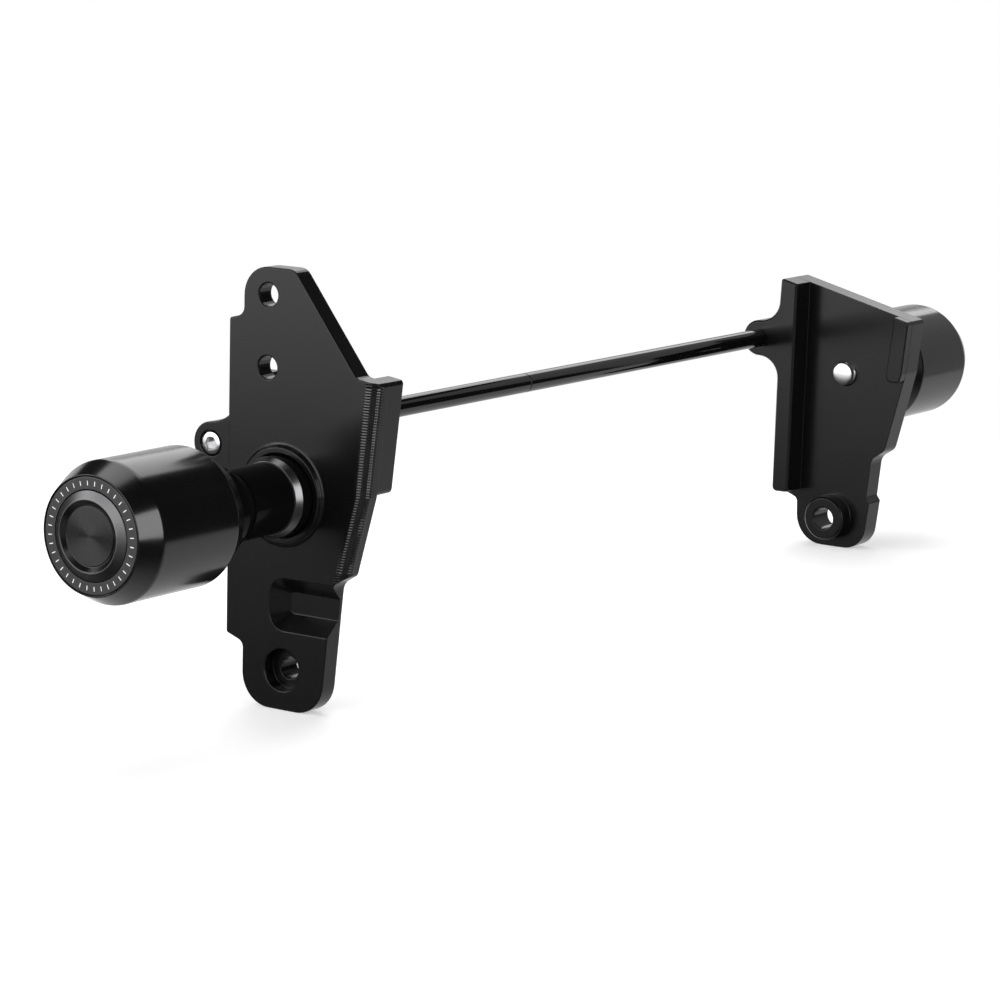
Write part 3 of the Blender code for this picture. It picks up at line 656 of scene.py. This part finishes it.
def studio_world():
    """White for the camera and through glass. Surfaces are lit by, and mirror, a dim room with a pale paper sweep: its
    part on the floor starts sharply below the horizon and is brightest low behind the object, its upright part glows
    round one direction, the ceiling above is a little lighter, and a dim patch low in front fills the back views."""
    world = bpy.data.worlds.new("studio")
    bpy.context.scene.world = world
    world.use_nodes = True
    tree = world.node_tree
    background = tree.nodes["Background"]
    place = tree.nodes.new("ShaderNodeTexCoord")

    def lobe(azimuth, elevation, inner, outer, value):
        """A value round one direction, in full within the inner angle and gone past the outer one."""
        facing = tree.nodes.new("ShaderNodeVectorMath")
        facing.operation = "DOT_PRODUCT"
        facing.inputs[1].default_value = direction(azimuth, elevation)
        link(tree, place.outputs["Generated"], facing.inputs[0])
        edge, core = math.cos(math.radians(outer)), math.cos(math.radians(inner))
        return ranged(tree, facing.outputs["Value"], 0.0, value, edge, core, smooth=True)

    split = tree.nodes.new("ShaderNodeSeparateXYZ")
    link(tree, place.outputs["Generated"], split.inputs["Vector"])
    below = ranged(tree, split.outputs["Z"], 0.0, 1.0, -0.18, -0.24, smooth=True)
    paper = maths(tree, "MULTIPLY", below, lobe(95, -35, 37, 78, 0.75))
    low = ranged(tree, split.outputs["Z"], 1.0, 0.0, 0.22, 0.34, smooth=True)
    upright = maths(tree, "MULTIPLY", low, lobe(138, 5, 8, 38, 0.85))
    zenith = lobe(115, 62, 8, 28, 0.5)
    front = lobe(-45, -22, 8, 34, 0.3)
    glow = maths(tree, "ADD", maths(tree, "ADD", zenith, front), ROOM_LIGHT)
    sweep = maths(tree, "ADD", maths(tree, "ADD", paper, upright), glow)
    path = tree.nodes.new("ShaderNodeLightPath")
    seen = maths(tree, "MAXIMUM", path.outputs["Is Camera Ray"], path.outputs["Is Transmission Ray"])
    link(tree, maths(tree, "MAXIMUM", seen, sweep), background.inputs["Strength"])
    background.inputs["Color"].default_value = (1.0, 1.0, 1.0, 1.0)


def floor():
    """A pale floor, a flat sheet just under the lowest point of the plates, that keeps a soft shadow near the object
    and turns plain white further away."""
    line = np.linspace(-FLOOR_REACH, FLOOR_REACH, FLOOR_LINES)
    x, y = np.meshgrid(line, line, indexing="ij")
    points = np.stack([x, y, np.full_like(x, FLOOR_Z - FLOOR_DROP)], axis=-1).reshape(-1, 3)
    mesh = bpy.data.meshes.new("floor")
    mesh.from_pydata(points, [], grid_faces(FLOOR_LINES, FLOOR_LINES, round_columns=False))
    sheet = bpy.data.objects.new("floor", mesh)
    bpy.context.scene.collection.objects.link(sheet)
    sheet.visible_glossy = False
    sheet.visible_shadow = False
    sheet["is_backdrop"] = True
    material = bpy.data.materials.new("pale_floor")
    material.use_nodes = True
    tree = material.node_tree
    tree.nodes.remove(tree.nodes["Principled BSDF"])
    paper = tree.nodes.new("ShaderNodeBsdfDiffuse")
    paper.inputs["Color"].default_value = (*FLOOR_GREY, 1.0)
    glow = tree.nodes.new("ShaderNodeEmission")
    path = tree.nodes.new("ShaderNodeLightPath")
    link(tree, maths(tree, "MULTIPLY", path.outputs["Is Camera Ray"], FLOOR_GLOW), glow.inputs["Strength"])
    both = tree.nodes.new("ShaderNodeAddShader")
    link(tree, paper.outputs["BSDF"], both.inputs[0])
    link(tree, glow.outputs["Emission"], both.inputs[1])
    white = tree.nodes.new("ShaderNodeEmission")
    place = tree.nodes.new("ShaderNodeTexCoord")
    length = tree.nodes.new("ShaderNodeVectorMath")
    length.operation = "LENGTH"
    link(tree, place.outputs["Object"], length.inputs[0])
    far = ranged(tree, length.outputs["Value"], 0.0, 1.0, *FLOOR_FADE, smooth=True)
    blend = tree.nodes.new("ShaderNodeMixShader")
    link(tree, far, blend.inputs[0])
    link(tree, both.outputs["Shader"], blend.inputs[1])
    link(tree, white.outputs["Emission"], blend.inputs[2])
    link(tree, blend.outputs["Shader"], tree.nodes["Material Output"].inputs["Surface"])
    mesh.materials.append(material)


def camera():
    """The photograph's view: azimuth, elevation, a small roll, and the nose's place in the camera's axes."""
    back = direction(VIEW_AZIMUTH, VIEW_ELEVATION)
    right = Vector((math.cos(math.radians(VIEW_AZIMUTH)), math.sin(math.radians(VIEW_AZIMUTH)), 0.0))
    up = back.cross(right)
    roll = math.radians(VIEW_ROLL)
    rolled_right = math.cos(roll) * right + math.sin(roll) * up
    rolled_up = -math.sin(roll) * right + math.cos(roll) * up
    turn = Matrix((rolled_right, rolled_up, back)).transposed()
    data = bpy.data.cameras.new("camera")
    data.sensor_width = SENSOR
    data.lens = FOCAL_PIXELS / FRAME_PIXELS * SENSOR
    data.clip_start, data.clip_end = 0.05, 50.0
    eye = bpy.data.objects.new("camera", data)
    place = (Vector(NOSE_PLANE) - turn @ CAMERA_OFFSET) * MM
    eye.matrix_world = Matrix.Translation(place) @ turn.to_4x4()
    bpy.context.scene.collection.objects.link(eye)
    bpy.context.scene.camera = eye


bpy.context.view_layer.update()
bpy.context.scene.view_settings.view_transform = "Standard"
studio_world()
floor()
softbox("left_softbox", -107, 19, 3.0, 5.25, 3.1, 2.85)
softbox("front_softbox", -3, 14, 3.5, 1.62, 2.37, 5.0)
softbox("overhead_softbox", 119, 53, 3.75, 2.6, 5.2, 2.3)
softbox("back_softbox", 208, 32, 3.5, 2.2, 1.4, 1.6)
softbox("far_panel", 80, 20, 0.5, 0.62, 0.62, 0.42, FAR_PUCK)
camera()
